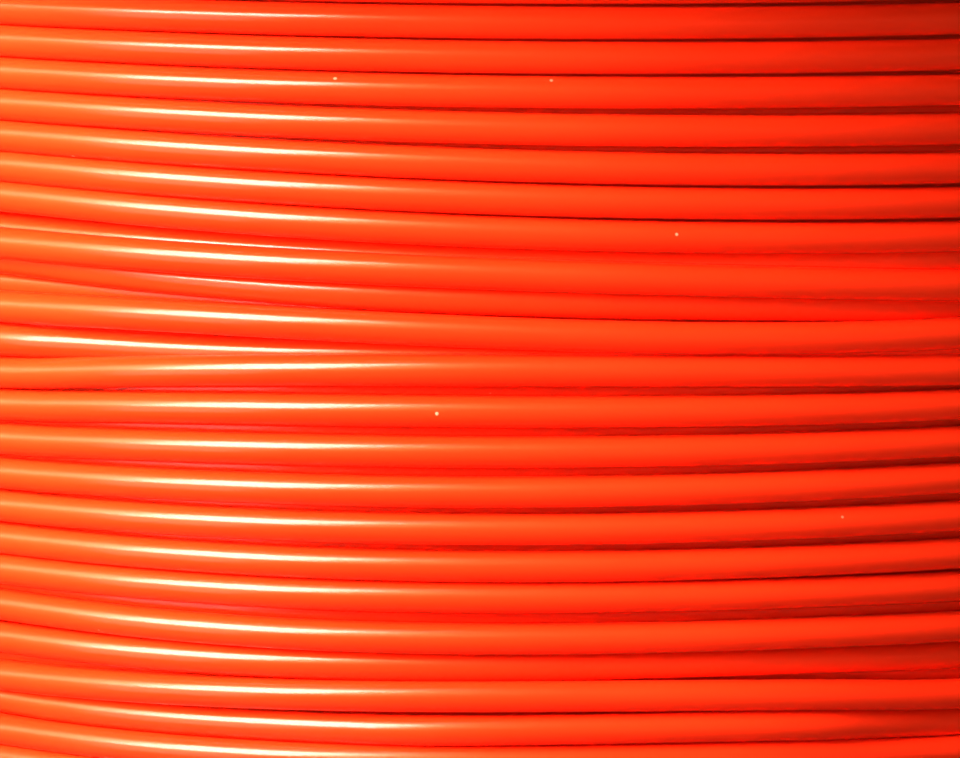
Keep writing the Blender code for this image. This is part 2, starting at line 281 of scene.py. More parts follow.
def window_outline(middle):
    """A window between two spokes: a sector of the disc whose four corners are rounded."""
    inner, outer = WINDOW_R
    outline = []
    for radius, side in ((outer, -1), (outer, 1), (inner, 1), (inner, -1)):
        reach = radius - WINDOW_CORNER if radius == outer else radius + WINDOW_CORNER
        lean = WINDOW_HALF_ANGLE - math.asin(WINDOW_CORNER / reach)
        centre = on_circle(reach, middle + side * lean, 0)
        across = middle + side * (WINDOW_HALF_ANGLE + math.pi / 2)
        along = middle + side * lean + (0 if radius == outer else side * math.pi)
        start, end = (across, along) if (radius == outer) == (side < 0) else (along, across)
        outline += arc(WINDOW_CORNER, start, end, 6, centre)
    return outline


def slot_outline(angle):
    """A slot with round ends, lying along the slots' circle."""
    straight = (SLOT_LENGTH - SLOT_WIDTH) / 2
    along = Vector((-math.sin(angle), math.cos(angle)))
    centre = on_circle(SLOT_R, angle, 0).to_2d()
    first = arc(SLOT_WIDTH / 2, angle, angle + math.pi, 10, centre + along * straight)
    return first + arc(SLOT_WIDTH / 2, angle + math.pi, angle + math.tau, 10, centre - along * straight)


def turned(profile, easing=0.0, sides=144, centre=(0, 0), closed=True):
    """A mesh turned about an upright axis. A closed profile makes a ring, and one that is not closed starts
    and ends on the axis. A profile's radius may be a function of the angle."""
    if easing and closed:
        profile = rounded(profile, easing)
    bm = bmesh.new()
    axis = Vector((*centre, 0))
    rings = []
    for radius, height in profile:
        ring = []
        for i in range(sides if callable(radius) or radius > 0 else 1):
            angle = math.tau * i / sides
            reach = radius(angle) if callable(radius) else radius
            ring.append(bm.verts.new(axis + on_circle(reach, angle, height)))
        rings.append(ring)
    following = rings[1:] + rings[:1] if closed else rings[1:]
    for ring, after in zip(rings, following):
        for i in range(sides):
            j = (i + 1) % sides
            corners = [line[k % len(line)] for line, k in ((ring, i), (ring, j), (after, j), (after, i))]
            bm.faces.new(dict.fromkeys(corners))
    return to_mesh(bm)


def to_mesh(bm):
    mesh = bpy.data.meshes.new("part")
    bmesh.ops.recalc_face_normals(bm, faces=bm.faces)
    bm.to_mesh(mesh)
    bm.free()
    return mesh


def plate(outlines, low, high, edge):
    """A flat mesh between two heights over closed (x, y) outlines, whose edges are rounded. An outline inside
    another is a hole in it."""
    curve = bpy.data.curves.new("plate", "CURVE")
    curve.dimensions = "2D"
    curve.fill_mode = "BOTH"
    curve.extrude = (high - low) / 2 - edge
    curve.bevel_depth = edge
    curve.bevel_resolution = 2
    curve.offset = -edge
    for outline in outlines:
        spline = curve.splines.new("POLY")
        spline.points.add(len(outline) - 1)
        for place, point in zip(spline.points, outline):
            place.co = (*point[:2], 0, 1)
        spline.use_cyclic_u = True
    holder = link("plate", curve)
    bpy.context.view_layer.update()
    evaluated = holder.evaluated_get(bpy.context.evaluated_depsgraph_get())
    mesh = bpy.data.meshes.new_from_object(evaluated)
    bpy.data.objects.remove(holder)
    bm = bmesh.new()
    bm.from_mesh(mesh)
    bmesh.ops.remove_doubles(bm, verts=bm.verts, dist=1e-7)
    bmesh.ops.translate(bm, verts=bm.verts, vec=(0, 0, (low + high) / 2))
    return to_mesh(bm)


def link(name, data):
    """A new object in the scene."""
    made = bpy.data.objects.new(name, data)
    bpy.context.scene.collection.objects.link(made)
    return made


def add_piece(name, meshes, material, body, slot, *nodes, sharp=math.radians(40)):
    """Joins the meshes into one piece that rides on a body, and stands for the CAD nodes named."""
    bm = bmesh.new()
    for mesh in meshes:
        bm.from_mesh(mesh)
    joined = bpy.data.meshes.new(name)
    bm.to_mesh(joined)
    bm.free()
    joined.shade_smooth()
    joined.set_sharp_from_angle(angle=sharp)
    joined.materials.clear()
    joined.materials.append(material)
    piece = link(name, joined)
    normals = piece.modifiers.new("normals", "WEIGHTED_NORMAL")
    normals.keep_sharp = True
    place_piece(piece, body, nodes)


def place_piece(piece, body, nodes):
    """Puts a piece on a body, to stand for CAD nodes. One without a body is left unattached."""
    if body:
        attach(piece, body)
    if nodes:
        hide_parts(*nodes)


# ---------------------------------------------------------------- strands


def tube_rings(points, sides):
    """Rings of points round a line of points that runs round the spool's axis."""
    along = np.gradient(points, axis=0)
    along /= np.linalg.norm(along, axis=1)[:, None]
    outward = points * (1, 1, 0)
    outward -= (outward * along).sum(axis=1)[:, None] * along
    outward /= np.linalg.norm(outward, axis=1)[:, None]
    upward = np.cross(along, outward)
    turn = np.arange(sides) * math.tau / sides
    across = np.cos(turn)[None, :, None] * outward[:, None] + np.sin(turn)[None, :, None] * upward[:, None]
    return points[:, None] + FILAMENT_R * across


def strand_mesh(name, lines, sides):
    """One mesh of round strands of filament, each along a line of points, with closed ends."""
    corners, faces, first = [], [], 0
    for points in lines:
        rings = tube_rings(points, sides)
        count = len(rings)
        corners.append(rings.reshape(-1, 3))
        corners.append(points[[0, -1]])
        row, side = np.meshgrid(np.arange(count - 1), np.arange(sides), indexing="ij")
        following = (side + 1) % sides
        here, ahead = row * sides, (row + 1) * sides
        quads = np.stack([here + side, ahead + side, ahead + following, here + following], axis=-1)
        faces += (first + quads.reshape(-1, 4)).tolist()
        middle_start, middle_end = first + count * sides, first + count * sides + 1
        last = first + (count - 1) * sides
        for i in range(sides):
            j = (i + 1) % sides
            faces.append((middle_start, first + i, first + j))
            faces.append((middle_end, last + j, last + i))
        first += count * sides + 2
    mesh = bpy.data.meshes.new(name)
    mesh.from_pydata(np.concatenate(corners).tolist(), [], faces)
    mesh.update()
    mesh.shade_smooth()
    mesh.set_sharp_from_angle(angle=math.radians(60))
    return mesh


def add_strands(name, lines, sides, material, *nodes, body="refill"):
    mesh = strand_mesh(name, lines, sides)
    mesh.materials.append(material)
    piece = link(name, mesh)
    place_piece(piece, body, nodes)
    return piece


def smoothstep(value, start, end):
    t = np.clip((value - start) / (end - start), 0, 1)
    return t * t * (3 - 2 * t)


def through_four(places, values, at):
    """The cubic through four (place, value) pairs, read at the places in at."""
    return np.polyval(np.polyfit(places, values, 3), at)


def along_front(angle):
    """Distance in mm along the front for angles from its middle, levelling off just past the last places."""
    place = angle * TOP_LAYER_R / MM
    edge = FRONT_PLACES[-1]
    past = np.maximum(np.abs(place) - edge, 0)
    ease = 6.0  # mm, how far past the last place it goes
    return np.sign(place) * (np.minimum(np.abs(place), edge) + ease * (1 - np.exp(-past / ease)))


def depth_of_contact(apart):
    """How much deeper a strand lies than one that it touches from below, by their distance along the axis."""
    return np.sqrt(np.maximum((2 * FILAMENT_R) ** 2 - apart**2, 0))


# Each turn of the two outer layers is read at these angles from the middle of the front. It follows the
# front's heights as far as FRONT_EDGE on both sides, and has let go of them at FRONT_END.
TURN_STEPS = 200
TURN_ANGLES = np.linspace(-math.pi, math.pi, TURN_STEPS + 1)
FRONT_EDGE = math.radians(17)
FRONT_END = math.radians(60)
AT_FRONT = 1 - smoothstep(np.abs(TURN_ANGLES), FRONT_EDGE, FRONT_END)
AT_BACK = smoothstep(np.abs(TURN_ANGLES), math.radians(120), math.radians(165))

BACK_SINKING = (5, 12, 19)  # rows, counted from the bottom, that sink between their neighbours at the back
BACK_SINKING_FROM = 1.5  # radians from the middle of the front, where they start to
BACK_CLOSE = 0.68  # of the even pitch, left between such a row and its neighbours
BACK_STRAY = 0.3 * MM  # by which the back's other gaps may be wider


def top_layer_turns():
    """Heights and radii of the outermost layer's turns, from the bottom turn up: one row for each turn, read
    at TURN_ANGLES. A row's right end is the next row's left end."""
    chosen = list(FRONT_TURNS)
    count = chosen[-1] + 1
    columns = [np.interp(np.arange(count), chosen, column) for column in zip(*FRONT_TURNS.values())]
    front = np.stack(columns, axis=-1)[::-1]
    bottom = MIDDLE + front[0][0] * MM
    top = MIDDLE + front[-1][1] * MM
    pitch = (top - bottom) / (count - 1)
    turn = np.arange(count)[:, None] + TURN_ANGLES[None] / math.tau
    level = np.maximum(bottom + turn * pitch, bottom)
    places = along_front(TURN_ANGLES)
    shown = np.array([through_four(FRONT_PLACES, row, places) for row in front]) * MM + MIDDLE
    back = np.concatenate([[0], back_heights(count - 1, pitch), [0]])
    shift = np.where(TURN_ANGLES[None] < 0, back[:-1, None], back[1:, None])
    z = level + AT_FRONT * (shown - level) + AT_BACK * shift
    radius = np.full_like(z, TOP_LAYER_R)
    sinking = {count - 1 - i: np.full_like(TURN_ANGLES, share) for i, share in SINKING_TURNS.items()}
    for row in BACK_SINKING:
        sinking[row] = np.maximum(sinking.get(row, 0), TURN_ANGLES > BACK_SINKING_FROM)
        sinking[row + 1] = np.maximum(sinking.get(row + 1, 0), TURN_ANGLES < -BACK_SINKING_FROM)
    for row, where in sinking.items():
        if 0 < row < count - 1:
            radius[row] -= where * depth_of_contact(np.minimum(z[row + 1] - z[row], z[row] - z[row - 1]))
    loose = count - 1 - LOOSE_TURN
    depths = np.clip(through_four(FRONT_PLACES, LOOSE_DEPTHS, places), 0, 1.0)
    radius[loose] -= depths * AT_FRONT * MM
    return z, radius


def back_heights(count, pitch):
    """How far each crossing of the back lies above its even place."""
    random = np.random.default_rng(5)
    gaps = pitch + random.uniform(0, BACK_STRAY, count + 1)
    for row in BACK_SINKING:
        gaps[row] = gaps[row + 1] = BACK_CLOSE * pitch
    heights_above = np.cumsum(gaps)
    even = np.arange(1, count + 2) * heights_above[-1] / (count + 1)
    return (heights_above - even)[:-1]


def tail_points():
    """Points on a Catmull-Rom curve through the tail's route."""
    middle = SLOT_PAIR_ANGLES[0]
    route = [on_circle(r * MM, middle + along * MM / SLOT_R, z * MM) for along, r, z in TAIL_ROUTE]
    padded = [2 * route[0] - route[1], *route, 2 * route[-1] - route[-2]]
    smooth = [route[0]]
    steps = 8
    for before, start, end, after in zip(padded, padded[1:], padded[2:], padded[3:]):
        for i in range(1, steps + 1):
            t = i / steps
            bend = 2 * before - 5 * start + 4 * end - after
            twist = 3 * start - before - 3 * end + after
            smooth.append(0.5 * (2 * start + (end - before) * t + bend * t**2 + twist * t**3))
    return np.array([tuple(p) for p in smooth])


def ring_points(angle, radius, z):
    return np.stack([radius * np.cos(angle), radius * np.sin(angle), z], axis=-1)


START_DEPTH = 0.9 * LAYER_STEP  # of the outermost layer's first point
START_RISE = 0.5  # radians, over which it comes up from there


def make_top_layer(turns, material, tail_start):
    """The outermost layer as one helix, in two pieces that meet at the back. Its first turn comes up from the
    layer below, and its last rises off the winding to where the filament's end begins."""
    z, radius = turns
    rows = len(z)
    z = np.concatenate([z[:-1, :-1].ravel(), z[-1]])
    radius = np.concatenate([radius[:-1, :-1].ravel(), radius[-1]])
    total = TURN_ANGLES[0] + np.arange(len(z)) * math.tau / TURN_STEPS
    radius -= START_DEPTH * (1 - smoothstep(total, TURN_ANGLES[0], TURN_ANGLES[0] + START_RISE))
    tail_angle = math.atan2(tail_start[1], tail_start[0])
    end = (rows - 1) * math.tau + tail_angle - FRONT
    lift_start = (rows - 1) * math.tau + FRONT_EDGE
    lift = smoothstep(total, lift_start, end)
    radius += lift * (math.hypot(tail_start[0], tail_start[1]) - radius)
    z += lift * (tail_start[2] - z)
    kept = total < end
    points = ring_points(total[kept] + FRONT, radius[kept], z[kept])
    points = np.concatenate([points, [tail_start]])
    half = (rows // 2) * TURN_STEPS
    add_strands("winding_top_layer_low", [points[: half + 1]], 24, material, "filament_winding")
    add_strands("winding_top_layer_high", [points[half:]], 24, material)


SECOND_LAYER_DROP = 0.3 * MM  # below the middles of the outermost layer's gaps
SECOND_LAYER_PRESS = 0.9  # of the depth at which it would only touch the turns over it
TURNS_ABOVE = 4  # of the layer below, between the outermost layer's last turn and the upper flange


def make_second_layer(top_turns, material):
    """The layer below, wound the other way. At the front its turns lie behind the outermost layer's gaps."""
    top_z, top_radius = top_turns
    gaps = (top_z[:-1] + top_z[1:]) / 2 - SECOND_LAYER_DROP
    clear = np.full_like(gaps, TOP_LAYER_R - LAYER_STEP)
    for z, radius in ((top_z[:-1], top_radius[:-1]), (top_z[1:], top_radius[1:])):
        clear = np.minimum(clear, radius - SECOND_LAYER_PRESS * depth_of_contact(gaps - z))
    low, high = WINDING_Z[0] + FILAMENT_R, WINDING_Z[1] - FILAMENT_R
    middles = gaps[:, TURN_STEPS // 2]
    above = np.linspace(middles[-1], high, TURNS_ABOVE + 1)[1:]
    crossings = np.concatenate([[low], middles, above])
    turns = np.concatenate([[0], np.arange(len(crossings) - 1) + 0.5])
    rows = len(crossings) - 1
    level = np.interp(np.arange(rows)[:, None] + 0.5 - TURN_ANGLES[None] / math.tau, turns, crossings)
    level[: len(gaps)] += AT_FRONT * (gaps - level[: len(gaps)])
    z = np.concatenate([level[::-1, :-1].ravel(), level[0, -1:]])
    total = TURN_ANGLES[0] + np.arange(len(z)) * math.tau / TURN_STEPS
    depth = np.full_like(level, TOP_LAYER_R - LAYER_STEP)
    depth[: len(gaps)] += AT_FRONT * (clear - depth[: len(gaps)])
    radius = np.concatenate([depth[::-1, :-1].ravel(), depth[0, -1:]])
    add_strands("winding_second_layer", [ring_points(total + FRONT, radius, z)], 16, material)


EDGE_STEPS = 110  # points on each turn of the winding's edges
EDGE_ADVANCE = 8 / 360  # of a turn, by which each step to the next layer lies past the last
EDGE_STEP_START = 0.93  # of each turn, where that step starts


def make_winding_edges(material):
    """The outer turn of every layer at both flanges, as one strand that steps from layer to layer."""
    layers = LAYERS - 2
    count = layers * EDGE_STEPS
    random = np.random.default_rng(11)
    wander = random.uniform(-1, 1, (2, layers + 2))
    for index, (name, edge, inward) in enumerate((("lower", WINDING_Z[0], 1), ("upper", WINDING_Z[1], -1))):
        total = np.linspace(0, layers * math.tau, count)
        turn = total / math.tau
        layer = np.floor(turn)
        step = smoothstep(turn - layer, EDGE_STEP_START, 1.0)
        place = layer + step
        radius = FIRST_LAYER_R + LAYER_STEP * np.minimum(place, layers - 1)
        alternate = np.abs((place + index) % 2 - 1)  # every other layer's outer turn lies further in
        drift = wander[index][layer.astype(int)] * (1 - step) + wander[index][layer.astype(int) + 1] * step
        sink = 0.1 + 0.78 * alternate + 0.12 * (1 + drift) * np.sin(total * 0.5 + 3 * drift) ** 2
        z = edge + inward * (FILAMENT_R + sink * FILAMENT_R)
        angle = total * (1 + EDGE_ADVANCE)
        add_strands(f"winding_{name}_edge", [ring_points(angle, radius, z)], 12, material)


def make_inner_layers(material):
    """The layers inside, as one ring whose outer side is ribbed like the turns."""
    low, high = WINDING_Z[0] + 2 * MM, WINDING_Z[1] - 2 * MM
    outer = TOP_LAYER_R - 2 * LAYER_STEP
    ribs = 30
    pitch = (high - low) / ribs
    profile = [(FIRST_LAYER_R, high), (FIRST_LAYER_R, low)]
    for i in range(ribs):
        for k in range(6):
            t = k / 6
            profile.append((outer + FILAMENT_R * 0.8 * math.sin(math.pi * t), low + (i + t) * pitch))
    profile.append((outer, high))
    add_piece("winding_inner_layers", [turned(profile, sides=96)], material, "refill", "filament")


def make_tail(material, points):
    """The filament's end, which leaves the winding and is parked in the upper flange's slots. It rides on
    neither half."""
    tail = add_strands("filament_end", [points], 24, material, "filament_tail", body=None)
    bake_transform(tail)


# ---------------------------------------------------------------- materials


class Nodes:
    """A material's node tree, with short calls for the nodes used here."""

    def __init__(self, name, colour, roughness, metallic=0.0):
        self.material = bpy.data.materials.new(name)
        self.material.use_nodes = True
        self.tree = self.material.node_tree
        self.shader = self.tree.nodes["Principled BSDF"]
        self.shader.inputs["Base Color"].default_value = (*colour, 1)
        self.shader.inputs["Roughness"].default_value = roughness
        self.shader.inputs["Metallic"].default_value = metallic
        self.place = self.add("ShaderNodeTexCoord").outputs["Object"]

    def add(self, kind, **settings):
        node = self.tree.nodes.new(kind)
        for key, value in settings.items():
            setattr(node, key, value)
        return node

    def feed(self, socket, value):
        if isinstance(value, bpy.types.NodeSocket):
            self.tree.links.new(value, socket)
        elif value is not None:
            socket.default_value = value

    def math(self, operation, first, second=None, clamp=False):
        node = self.add("ShaderNodeMath", operation=operation, use_clamp=clamp)
        for socket, value in zip(node.inputs, (first, second)):
            self.feed(socket, value)
        return node.outputs[0]

    def times(self, first, second):
        return self.math("MULTIPLY", first, second)

    def noise(self, scale, detail=2.0, vector=None, roughness=0.5):
        node = self.add("ShaderNodeTexNoise")
        self.feed(node.inputs["Vector"], vector or self.place)
        node.inputs["Scale"].default_value = scale
        node.inputs["Detail"].default_value = detail
        node.inputs["Roughness"].default_value = roughness
        return node.outputs["Fac"]

    def cells(self, scale):
        """The distance to the middle of the nearest cell."""
        node = self.add("ShaderNodeTexVoronoi")
        self.feed(node.inputs["Vector"], self.place)
        node.inputs["Scale"].default_value = scale
        return node.outputs["Distance"]

    def between(self, value, start, end, low=0.0, high=1.0):
        """value's range start to end, mapped to low to high and clamped."""
        node = self.add("ShaderNodeMapRange")
        for socket, number in zip(node.inputs, (value, start, end, low, high)):
            self.feed(socket, number)
        return node.outputs["Result"]

    def mix(self, factor, first, second):
        """A colour between two, by factor."""
        node = self.add("ShaderNodeMix", data_type="RGBA")
        self.feed(node.inputs[0], factor)
        for socket, colour in zip((node.inputs[6], node.inputs[7]), (first, second)):
            self.feed(socket, colour if isinstance(colour, bpy.types.NodeSocket) else (*colour, 1))
        return node.outputs[2]

    def axes(self):
        """x, y and z of the place."""
        node = self.add("ShaderNodeSeparateXYZ")
        self.feed(node.inputs[0], self.place)
        return node.outputs

    def polar(self):
        """Distance from the spool's axis, angle about it, and height."""
        x, y, z = self.axes()
        squares = self.math("ADD", self.times(x, x), self.times(y, y))
        return self.math("SQRT", squares), self.math("ARCTAN2", y, x), z

    def vector(self, x, y, z):
        node = self.add("ShaderNodeCombineXYZ")
        for socket, value in zip(node.inputs, (x, y, z)):
            self.feed(socket, value)
        return node.outputs[0]

    def bump(self, height, distance, strength=1.0):
        node = self.add("ShaderNodeBump")
        node.inputs["Distance"].default_value = distance
        node.inputs["Strength"].default_value = strength
        self.feed(node.inputs["Height"], height)
        self.feed(self.shader.inputs["Normal"], node.outputs["Normal"])

    def colour(self, socket):
        self.feed(self.shader.inputs["Base Color"], socket)

    def roughness(self, socket):
        self.feed(self.shader.inputs["Roughness"], socket)


FILAMENT_COLOUR = (0.95, 0.037, 0.0055)


def filament_material():
    """Orange filament with faint lengthwise drawing lines and a few specks of dust. A clear gloss lies over
    its own soft sheen."""
    n = Nodes("orange_filament", FILAMENT_COLOUR, 0.31)
    n.shader.inputs["Specular IOR Level"].default_value = 0.4
    n.shader.inputs["Specular Tint"].default_value = (1.0, 0.38, 0.13, 1)
    n.shader.inputs["Coat Weight"].default_value = 0.3
    n.shader.inputs["Coat Roughness"].default_value = 0.14
    radius, angle, z = n.polar()
    lengthwise = n.vector(
        n.times(n.math("COSINE", angle), 0.05),
        n.times(n.math("SINE", angle), 0.05),
        n.math("ADD", radius, n.times(z, 1.3)),
    )
    patches = n.noise(60, 2.0)
    lines = n.noise(5200, 2.0, lengthwise)
    tint = n.between(patches, 0.35, 0.65)
    body = n.mix(tint, (0.97, 0.035, 0.005), (1.0, 0.041, 0.006))
    dust = n.between(n.cells(210), 0.016, 0.024, 1.0, 0.0)
    n.colour(n.mix(dust, body, (0.95, 0.30, 0.18)))
    n.roughness(n.between(lines, 0.3, 0.7, 0.28, 0.34))
    n.bump(n.math("ADD", n.times(lines, 0.12), n.times(patches, 0.6)), 0.00002)
    return n.material


def moulded_material(name, colour, wear, roughness):
    """Fine-textured moulded plastic, scuffed where the rims roll and rub."""
    n = Nodes(name, colour, roughness)
    radius, _, z = n.polar()
    grain = n.noise(1500, 3.0)
    cloud = n.noise(45, 3.0)
    section = n.vector(n.times(radius, 6.0), n.times(z, 6.0), 0.0)
    scratch = n.noise(220, 4.0, section, 0.7)
    rim = n.between(radius, FLANGE_R - 1.2 * MM, FLANGE_R - 0.1 * MM)
    scuff = n.times(rim, n.between(n.noise(300, 4.0, roughness=0.7), 0.55, 0.72))
    shade = n.between(cloud, 0.3, 0.7, 0.85, 1.2)
    darker, lighter = (tuple(c * share for c in colour) for share in (0.85, 1.18))
    tinted = n.mix(n.between(cloud, 0.35, 0.65), darker, lighter)
    n.colour(n.mix(n.times(scuff, 0.3), tinted, wear))
    uneven = n.between(grain, 0.3, 0.7, roughness - 0.05, roughness + 0.09)
    n.roughness(n.math("ADD", uneven, n.times(n.math("SUBTRACT", scratch, 0.5), 0.12)))
    n.bump(n.math("ADD", grain, n.times(shade, 0.1)), 0.00006, 0.6)
    return n.material


STRIPS = 2  # paper strips that the core is wound from, side by side
STRIP_HEIGHT = 34 * MM


def cardboard_material():
    """Grey-brown board wound from strips, with spiral seams, fibres and flecks."""
    n = Nodes("core_board", (0.42, 0.28, 0.16), 0.88)
    radius, angle, z = n.polar()
    fibres = n.noise(900, 4.0, n.vector(n.times(angle, 0.02), z, radius), 0.65)
    flecks = n.noise(700, 3.0)
    turns = n.times(angle, STRIPS / math.tau)
    strip = n.math("FRACT", n.math("ADD", n.times(z, 1 / STRIP_HEIGHT), turns))
    seam = n.between(n.math("ABSOLUTE", n.math("SUBTRACT", strip, 0.5)), 0.0, 0.02, 1.0, 0.0)
    plies = n.math("SINE", n.times(radius, math.tau / (0.6 * MM)))
    board = n.mix(n.between(fibres, 0.3, 0.7), (0.34, 0.22, 0.12), (0.50, 0.35, 0.21))
    flecked = n.mix(n.between(flecks, 0.62, 0.72, 0.0, 0.5), board, (0.16, 0.10, 0.06))
    n.colour(n.mix(n.times(seam, 0.7), flecked, (0.17, 0.11, 0.06)))
    n.roughness(n.between(fibres, 0.3, 0.7, 0.80, 0.94))
    height = n.math("SUBTRACT", n.math("ADD", fibres, n.times(plies, 0.12)), seam)
    n.bump(height, 0.00012, 0.8)
    return n.material


LABEL_FIELDS = 6


def label_material():
    """A blank paper label: an orange band, six empty grey fields in a ring, two dark hairlines and fine
    paper grain."""
    n = Nodes("label_paper", (0.86, 0.85, 0.82), 0.6)
    radius, angle, _ = n.polar()
    grain = n.noise(2600, 4.0, roughness=0.6)
    stain = n.noise(30, 3.0)

    def ring(inner, outer, soft=0.05 * MM):
        outside = n.between(radius, inner, inner + soft)
        inside = n.between(radius, outer, outer + soft, 1.0, 0.0)
        return n.times(outside, inside)

    paper = n.mix(n.between(stain, 0.35, 0.7), (0.60, 0.59, 0.56), (0.53, 0.52, 0.48))
    band = ring(47.4 * MM, 49.8 * MM)
    banded = n.mix(band, paper, (0.80, 0.055, 0.007))
    across = n.math("FRACT", n.times(n.math("ADD", angle, 0.3), LABEL_FIELDS / math.tau))
    inside = n.between(n.math("ABSOLUTE", n.math("SUBTRACT", across, 0.5)), 0.36, 0.363, 1.0, 0.0)
    field = n.times(ring(50.8 * MM, 53.2 * MM), inside)
    boxed = n.mix(n.times(field, 0.5), banded, (0.36, 0.36, 0.35))
    lines = n.math("ADD", ring(46.5 * MM, 46.6 * MM), ring(53.9 * MM, 54.0 * MM), clamp=True)
    n.colour(n.mix(n.times(lines, 0.8), boxed, (0.10, 0.10, 0.10)))
    n.roughness(n.between(grain, 0.3, 0.7, 0.5, 0.68))
    n.bump(grain, 0.00002, 0.5)
    return n.material


def metal_material(name, colour, roughness):
    """Plated metal with a fine grain and light tarnish."""
    n = Nodes(name, colour, roughness, 1.0)
    grain = n.noise(2400, 3.0)
    tarnish = n.noise(400, 4.0, roughness=0.6)
    n.colour(n.mix(n.between(tarnish, 0.4, 0.7), colour, tuple(c * 0.7 for c in colour)))
    n.roughness(n.between(grain, 0.3, 0.7, roughness - 0.06, roughness + 0.12))
    n.bump(grain, 0.00002, 0.5)
    return n.material


def floor_material():
    """Pale and matt, with painted light: paler far away, standing in for the lamp light that doesn't reach
    there.
    """
    n = Nodes("floor", (0.34, 0.335, 0.33), 0.75)
    cloud = n.noise(6, 3.0)
    radius, _, _ = n.polar()
    near = n.mix(cloud, (0.33, 0.325, 0.32), (0.35, 0.345, 0.34))
    # painted light: the colour grows paler from 0.8 m to 3 m from the axis, in place of lamp light there
    n.colour(n.mix(n.between(radius, 0.8, 3.0), near, (0.82, 0.82, 0.82)))
    n.bump(n.noise(400, 2.0), 0.00005, 0.3)
    return n.material


# ---------------------------------------------------------------- flanges, hub and lock ring


def flange_openings():
    outlines = [window_outline(math.tau * (i + 0.5) / WINDOW_COUNT) for i in range(WINDOW_COUNT)]
    for pair in SLOT_PAIR_ANGLES:
        outlines += [slot_outline(pair + side * SLOT_OFFSET / SLOT_R) for side in (-1, 1)]
    return outlines


def rim_profile():
    """The rim's section for a flange whose rim face is at height 0 and whose inner side is up."""
    outer = FLANGE_R
    inner_face = DISC_SETBACK + DISC_THICK
    return [
        (outer - RIM_WIDTH, DISC_SETBACK + 0.4 * MM),
        (outer - RIM_WIDTH, 0),
        (outer, 0),
        (outer, inner_face + RIM_LIP),
        (outer - RIM_LIP_WIDTH, inner_face + RIM_LIP),
        (outer - RIM_LIP_WIDTH, inner_face - 0.4 * MM),
    ]


TICK_COUNT = 11
EJECTOR_COUNT = 6


def raised_details(upper):
    """Low raised work on a flange's outer face: spoke ribs, beads, tick marks and ejector rings, each as
    outlines with a height above the face."""
    middles = [math.tau * i / WINDOW_COUNT for i in range(WINDOW_COUNT)]
    ribs = [spoke(56.6 * MM, 89.4 * MM, middle, 1.1 * MM) for middle in middles]
    angle = math.tau * 0.5 / WINDOW_COUNT + (0 if upper else math.pi) + WINDOW_HALF_ANGLE
    side = Vector((-math.sin(angle), math.cos(angle)))
    outward = Vector((math.cos(angle), math.sin(angle)))
    thick = outward * 0.2 * MM
    ticks = []
    for k in range(TICK_COUNT):
        long = side * (2.6 * MM if k % 5 == 0 else 1.5 * MM)
        begin = outward * (WINDOW_R[0] + (3 + 2.5 * k) * MM) + side * 0.9 * MM
        ticks.append([begin - thick, begin - thick + long, begin + thick + long, begin + thick])
    rings = []
    for i in range(EJECTOR_COUNT):
        centre = on_circle(SLOT_R, math.tau * (i + 0.08) / EJECTOR_COUNT, 0).to_2d()
        rings += [circle(radius * MM, 28, centre) for radius in (1.3, 1.05)]
    beads = [circle(radius * MM) for radius in (90.3, 89.6, 55.9, 55.2)]
    return ((ribs, 0.5 * MM), (ticks, 0.25 * MM), (rings, 0.12 * MM), (beads, 0.35 * MM))


def make_lower_flange(material):
    low, high = DISC_Z["lower"]
    outlines = [circle(FLANGE_R - RIM_LIP_WIDTH / 2), circle(BORE_R), *flange_openings()]
    outlines += [circle(HEAD_R + 0.4 * MM, 32, place) for place in screw_places()]
    disc = plate(outlines, low, high, 0.35 * MM)
    rim = turned(rim_profile(), 0.7 * MM, 192)
    collar_top = low + 0.5 * MM
    collar = turned([(BORE_R, 0), (COLLAR_R, 0), (COLLAR_R, collar_top), (BORE_R, collar_top)], 0.4 * MM)
    meshes = [disc, rim, collar]
    for place in screw_places():
        outer, wide, narrow = HEAD_R + 0.7 * MM, HEAD_R + 0.15 * MM, SHANK_R + GAP
        seat = [(outer, low), (wide, low), (narrow, low + wide - narrow), (narrow, high), (outer, high)]
        meshes.append(turned(seat, 0.05 * MM, 48, place))
    for details, proud in raised_details(False):
        meshes.append(plate(details, low - proud, low + 0.3 * MM, 0.1 * MM))
    add_piece("lower_flange_shell", meshes, material, "lower_half", "spool_plastic", "lower_flange")


